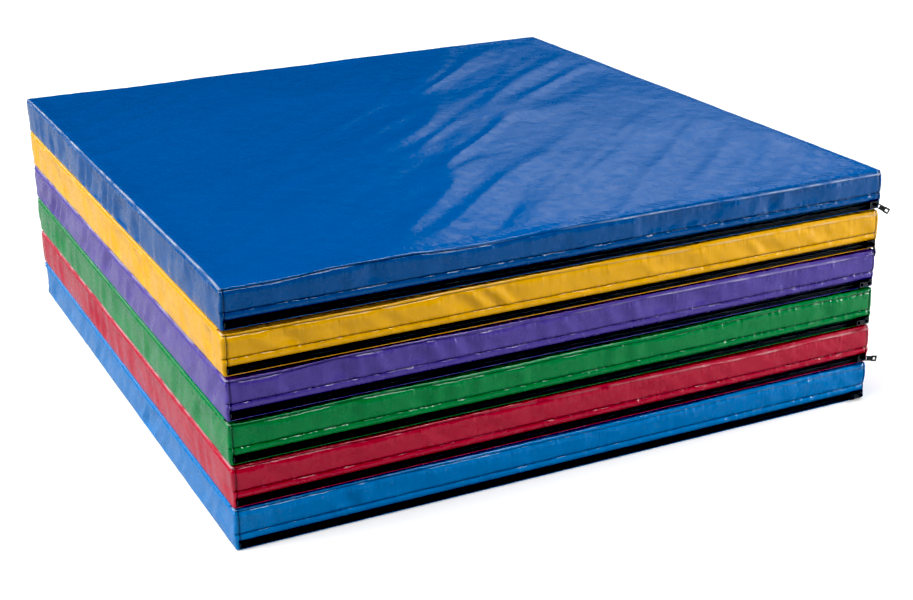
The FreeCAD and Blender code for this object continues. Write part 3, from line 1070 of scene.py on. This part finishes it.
tape_material, tape_output = new_material("woven_polyester_tape_black")
tape_place = add(tape_material, "ShaderNodeTexCoord").outputs["Object"]
tape_bump = add(tape_material, "ShaderNodeBump", {
    "Height": weave_height(tape_material, tape_place, TAPE_RIB),
    "Strength": 0.5,
    "Distance": 0.15 * MM,
})
tape_shader = add(
    tape_material,
    "ShaderNodeBsdfPrincipled",
    {"Base Color": linear("#060708"), "Roughness": 0.72, "Normal": tape_bump.outputs["Normal"]},
)
finish_material(tape_material, tape_output, tape_shader)
print("tape ribs of", round(TAPE_RIB / MM, 1), "mm")

# %% Wire and casting materials
WIRE_RUBS, CASTING_RUBS = 160.0, 240.0  # rubbed patches per metre, about 6 and 4 mm wide

nylon_material, nylon_output = new_material("drawn_nylon_wire_black")
nylon_place = add(nylon_material, "ShaderNodeTexCoord").outputs["Object"]
nylon_rub = add(
    nylon_material, "ShaderNodeTexNoise", {"Vector": nylon_place, "Scale": WIRE_RUBS}
)
nylon_gloss = add(
    nylon_material,
    "ShaderNodeMapRange",
    {"Value": nylon_rub.outputs["Fac"], "To Min": 0.3, "To Max": 0.5},
)
nylon_shader = add(
    nylon_material,
    "ShaderNodeBsdfPrincipled",
    {"Base Color": linear("#08090b"), "Roughness": nylon_gloss.outputs["Result"], "IOR": 1.53},
)
finish_material(nylon_material, nylon_output, nylon_shader)

metal_material, metal_output = new_material("black_enamelled_zinc")
metal_place = add(metal_material, "ShaderNodeTexCoord").outputs["Object"]
metal_rub = add(
    metal_material, "ShaderNodeTexNoise", {"Vector": metal_place, "Scale": CASTING_RUBS}
)
metal_gloss = add(
    metal_material,
    "ShaderNodeMapRange",
    {"Value": metal_rub.outputs["Fac"], "To Min": 0.22, "To Max": 0.42},
)
metal_shader = add(metal_material, "ShaderNodeBsdfPrincipled", {
    "Base Color": linear("#101114"),
    "Roughness": metal_gloss.outputs["Result"],
    "IOR": 1.5,
    "Coat Weight": 0.4,
    "Coat Roughness": 0.15,
})
finish_material(metal_material, metal_output, metal_shader)
print("zip materials:", tape_material.name, nylon_material.name, metal_material.name)

# %% Tape
TAPE_FACE = FRONT + 0.9 * MM
TAPE_THICK = 0.6 * MM
TAPE_TUCK = 0.5 * MM  # how far its edges go into the cover
RIB_PLACE, RIB_HEIGHT = 2.3 * MM, 0.35 * MM  # where the coil is sewn down


def make_tape(name):
    lift = panel_lift(name)
    low = Vector((-ZIP_HALF - TAPE_TUCK, TAPE_FACE, ZIP_LIP - TAPE_TUCK + lift))
    high = Vector((ZIP_HALF + TAPE_TUCK, TAPE_FACE + TAPE_THICK, ZIP_TOP + TAPE_TUCK + lift))
    tape = add_block(f"{name}_zip_tape", low, high)
    open_piece(tape)
    middle = ZIP_MIDDLE + lift
    for step in (-2.9, -2.3, -1.7, 1.7, 2.3, 2.9):
        cut((0, 0, middle + step * MM), (0, 0, 1))
    for place in np.linspace(-ZIP_HALF, ZIP_HALF, 60)[1:-1]:
        cut((place, 0, 0), (1, 0, 0))
    close_piece()
    points = points_of(tape)
    ribs = bell(np.abs(points[:, 2] - middle) - RIB_PLACE, 0.3 * MM)
    front = points[:, 1] < TAPE_FACE + 0.1 * MM
    points[:, 1] -= np.where(front, RIB_HEIGHT * ribs, 0)
    move_points(tape, points)
    tape.data.materials.append(tape_material)
    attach(tape, f"{name}_panel")
    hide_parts(f"{name}_zip_chain")
    return tape


tapes = [make_tape(name) for name in PANELS]
print("tapes:", len(tapes), "of", len(tapes[0].data.polygons), "faces")

# %% Coil
COIL_FACE = chain_low.y
COIL_PITCH = 2.0 * MM
COIL_HALF = 1.6 * MM  # half the coil's width
COIL_LOCK = 0.5 * MM  # how far each row reaches past the middle
COIL_END = 3.2 * MM  # room for a stop at either end
WIRE = 1.3 * MM
COIL_LENGTH = 2 * ZIP_HALF - 6.4 * MM - 2 * MM  # between the stops, less a turn


def make_coil(name):
    middle = ZIP_MIDDLE + panel_lift(name)
    turns = []
    for foot, shift in ((middle - COIL_LOCK, 0.0), (middle - COIL_HALF, COIL_PITCH / 2)):
        start = -ZIP_HALF + COIL_END + shift
        low = Vector((start, COIL_FACE, foot))
        high = Vector((start + WIRE, TAPE_FACE + 0.1 * MM, low.z + COIL_HALF + COIL_LOCK))
        turn = add_block(f"{name}_zip_coil", low, high)
        open_piece(turn)
        pick(turn, "faces", lambda p, y=low.y: p.y < y + 0.1 * MM)
        bpy.ops.mesh.bevel(offset=0.42 * MM, segments=2, affect="EDGES")
        close_piece()
        repeat(turn, COIL_PITCH, int(COIL_LENGTH / COIL_PITCH))
        turns.append(turn)
    bpy.ops.object.select_all(action="DESELECT")
    for turn in turns:
        turn.select_set(True)
    bpy.context.view_layer.objects.active = turns[0]
    bpy.ops.object.join()
    coil = bpy.context.object
    coil.name = coil.data.name = f"{name}_zip_coil"
    bpy.ops.object.shade_smooth_by_angle(angle=math.radians(50))
    coil.data.materials.append(nylon_material)
    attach(coil, f"{name}_panel")
    return coil


coils = [make_coil(name) for name in PANELS]
print("coils:", len(coils), "of", len(coils[0].data.polygons), "faces")

# %% [markdown]
# ## Slider, pull and stops
# The slider, its pull and the two stops are small zinc castings in black enamel. Their shapes
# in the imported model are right, so they stay as they are and take the enamel.

# %% Enamel on the castings
CASTINGS = ("zip_stops", "zip_slider", "zip_pull")
for name in PANELS:
    for part in CASTINGS:
        casting = bpy.data.objects[f"{name}_{part}"]
        casting.data.materials.clear()
        casting.data.materials.append(metal_material)
print("castings enamelled:", len(CASTINGS) * len(PANELS))

# %% [markdown]
# ## Topstitching
# A row of lockstitch holds the folded edge of the vinyl above the zip. Each stitch is a short,
# plump piece of thread that dips into the cover at both ends. One is modelled with few faces,
# and an array lays it along the row; then each stitch is set on the surface where it lies.
# The thread is a dark shade of its cover's colour.

# %% Thread
THREAD_COLOUR = {
    "sky": "#023a66",
    "red": "#5a0a18",
    "green": "#033d20",
    "purple": "#241c54",
    "yellow": "#8a5a06",
    "royal": "#02234c",
}


def make_thread(name, colour):
    material, output = new_material(f"polyester_thread_{name}")
    place = add(material, "ShaderNodeTexCoord").outputs["Object"]
    twist = add(material, "ShaderNodeTexNoise", {"Vector": place, "Scale": 1 / (0.6 * MM)})
    bump = add(
        material,
        "ShaderNodeBump",
        {"Height": twist.outputs["Fac"], "Strength": 0.4, "Distance": 0.1 * MM},
    )
    shader = add(
        material,
        "ShaderNodeBsdfPrincipled",
        {"Base Color": linear(colour), "Roughness": 0.55, "Normal": bump.outputs["Normal"]},
    )
    return finish_material(material, output, shader)


thread = {name: make_thread(name, colour) for name, colour in THREAD_COLOUR.items()}
print("threads:", len(thread))

# %% Stitches
STITCH, STITCH_PITCH, THREAD = 3.0 * MM, 4.0 * MM, 0.8 * MM  # length, pitch and thickness
STITCH_SINK = 0.5 * MM  # how far its ends dip into the vinyl


def make_stitches(name):
    lift = panel_lift(name)
    count = int((sheet_high.x - sheet_low.x - 2 * CORNER_ROUND - 4 * MM) / STITCH_PITCH)
    start = -count * STITCH_PITCH / 2
    low = Vector((start, FRONT - THREAD / 2, TOPSTITCH - THREAD / 2))
    high = Vector((start + STITCH, FRONT + THREAD / 2, TOPSTITCH + THREAD / 2))
    row = add_block(f"{name}_topstitch", low, high)
    open_piece(row)
    bpy.ops.mesh.bevel(offset=0.3 * MM, segments=1, affect="EDGES")
    cut((start + STITCH / 3, 0, 0), (1, 0, 0))
    cut((start + STITCH * 2 / 3, 0, 0), (1, 0, 0))
    close_piece()
    each = len(row.data.vertices)
    repeat(row, STITCH_PITCH, count)
    wall = points_of(covers[name])
    on_row = np.abs(wall[:, 2] - lift - TOPSTITCH) < 0.5 * MM
    wall = wall[on_row & (wall[:, 1] < FRONT + 6 * MM)]
    wall = wall[np.argsort(wall[:, 0])]
    points = points_of(row).reshape(count, each, 3)
    middles = points[:, :, 0].mean(axis=1)
    off_middle = np.abs(points[:, :, 0] - middles[:, None]) / (STITCH / 2)
    surface = np.interp(points[:, :, 0], wall[:, 0], wall[:, 1])
    points[:, :, 1] += surface - FRONT + STITCH_SINK * off_middle**2
    points[:, :, 2] += lift
    move_points(row, points.reshape(-1, 3))
    bpy.ops.object.shade_smooth()
    row.data.materials.append(thread[name])
    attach(row, f"{name}_panel")
    return row


rows = [make_stitches(name) for name in PANELS]
print("rows of stitches:", len(rows), "of", len(rows[0].data.polygons), "faces")

# %% [markdown]
# ## Hinge strips
# Neighbouring panels are joined along alternate sides by a strip of the same vinyl, sewn under
# one panel and on top of the next. The strip starts as a flat plane at the lower leaf. Its edge
# is extruded round the fold and back over the upper leaf, it is cut across, and a modifier
# gives it the vinyl's thickness.


def make_hinge(below, above):
    low, low_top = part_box(f"hinge_{below}_{above}_lower_leaf")
    up_base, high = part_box(f"hinge_{below}_{above}_upper_leaf")
    side = 1 if low.x > 0 else -1
    inner, outer = (low.x, low_top.x) if side > 0 else (low_top.x, low.x)
    thick = low_top.z - low.z
    z_low, z_high = (low.z + low_top.z) / 2, (up_base.z + high.z) / 2
    middle, round_off = (z_low + z_high) / 2, (z_high - z_low) / 2
    edge = outer - side * (round_off + thick / 2)
    centre = ((inner + edge) / 2, (low.y + high.y) / 2, z_low)
    bpy.ops.mesh.primitive_plane_add(size=1, location=centre)
    strip = bpy.context.object
    strip.name = strip.data.name = f"hinge_{below}_{above}"
    strip.scale = (abs(edge - inner), high.y - low.y, 1)
    bpy.ops.object.transform_apply(location=True, rotation=True, scale=True)
    open_piece(strip)
    pick(strip, "edges", lambda p: abs(p.x - edge) < NEAR)
    here = Vector((edge, 0, z_low))
    turns = [
        (edge + side * round_off * math.sin(angle), middle - round_off * math.cos(angle))
        for angle in np.linspace(0, math.pi, 7)[1:]
    ]
    for x, z in [*turns, (inner, z_high)]:
        step = Vector((x, 0, z)) - here
        bpy.ops.mesh.extrude_edges_move(TRANSFORM_OT_translate={"value": step})
        here = Vector((x, 0, z))
    for place in np.linspace(low.y, high.y, 52)[1:-1]:
        cut((0, place, 0), (0, 1, 0))
    close_piece()
    shell = strip.modifiers.new("thickness", "SOLIDIFY")
    shell.thickness = thick
    shell.offset = 0
    apply_all(strip)
    bpy.ops.object.shade_smooth_by_angle(angle=math.radians(50))
    strip.data.materials.append(vinyl[below])
    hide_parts(f"hinge_{below}_{above}_lower_leaf", f"hinge_{below}_{above}_upper_leaf")
    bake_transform(strip)
    flat_width = 2 * abs(edge - inner) + math.pi * round_off
    return strip, flat_width


for below, above in zip(PANELS, PANELS[1:]):
    strip, flat_width = make_hinge(below, above)
    flat_depth = round(strip.dimensions.y / MM)
    print(strip.name, "flat size in mm:", round(flat_width / MM, 1), "by", flat_depth)
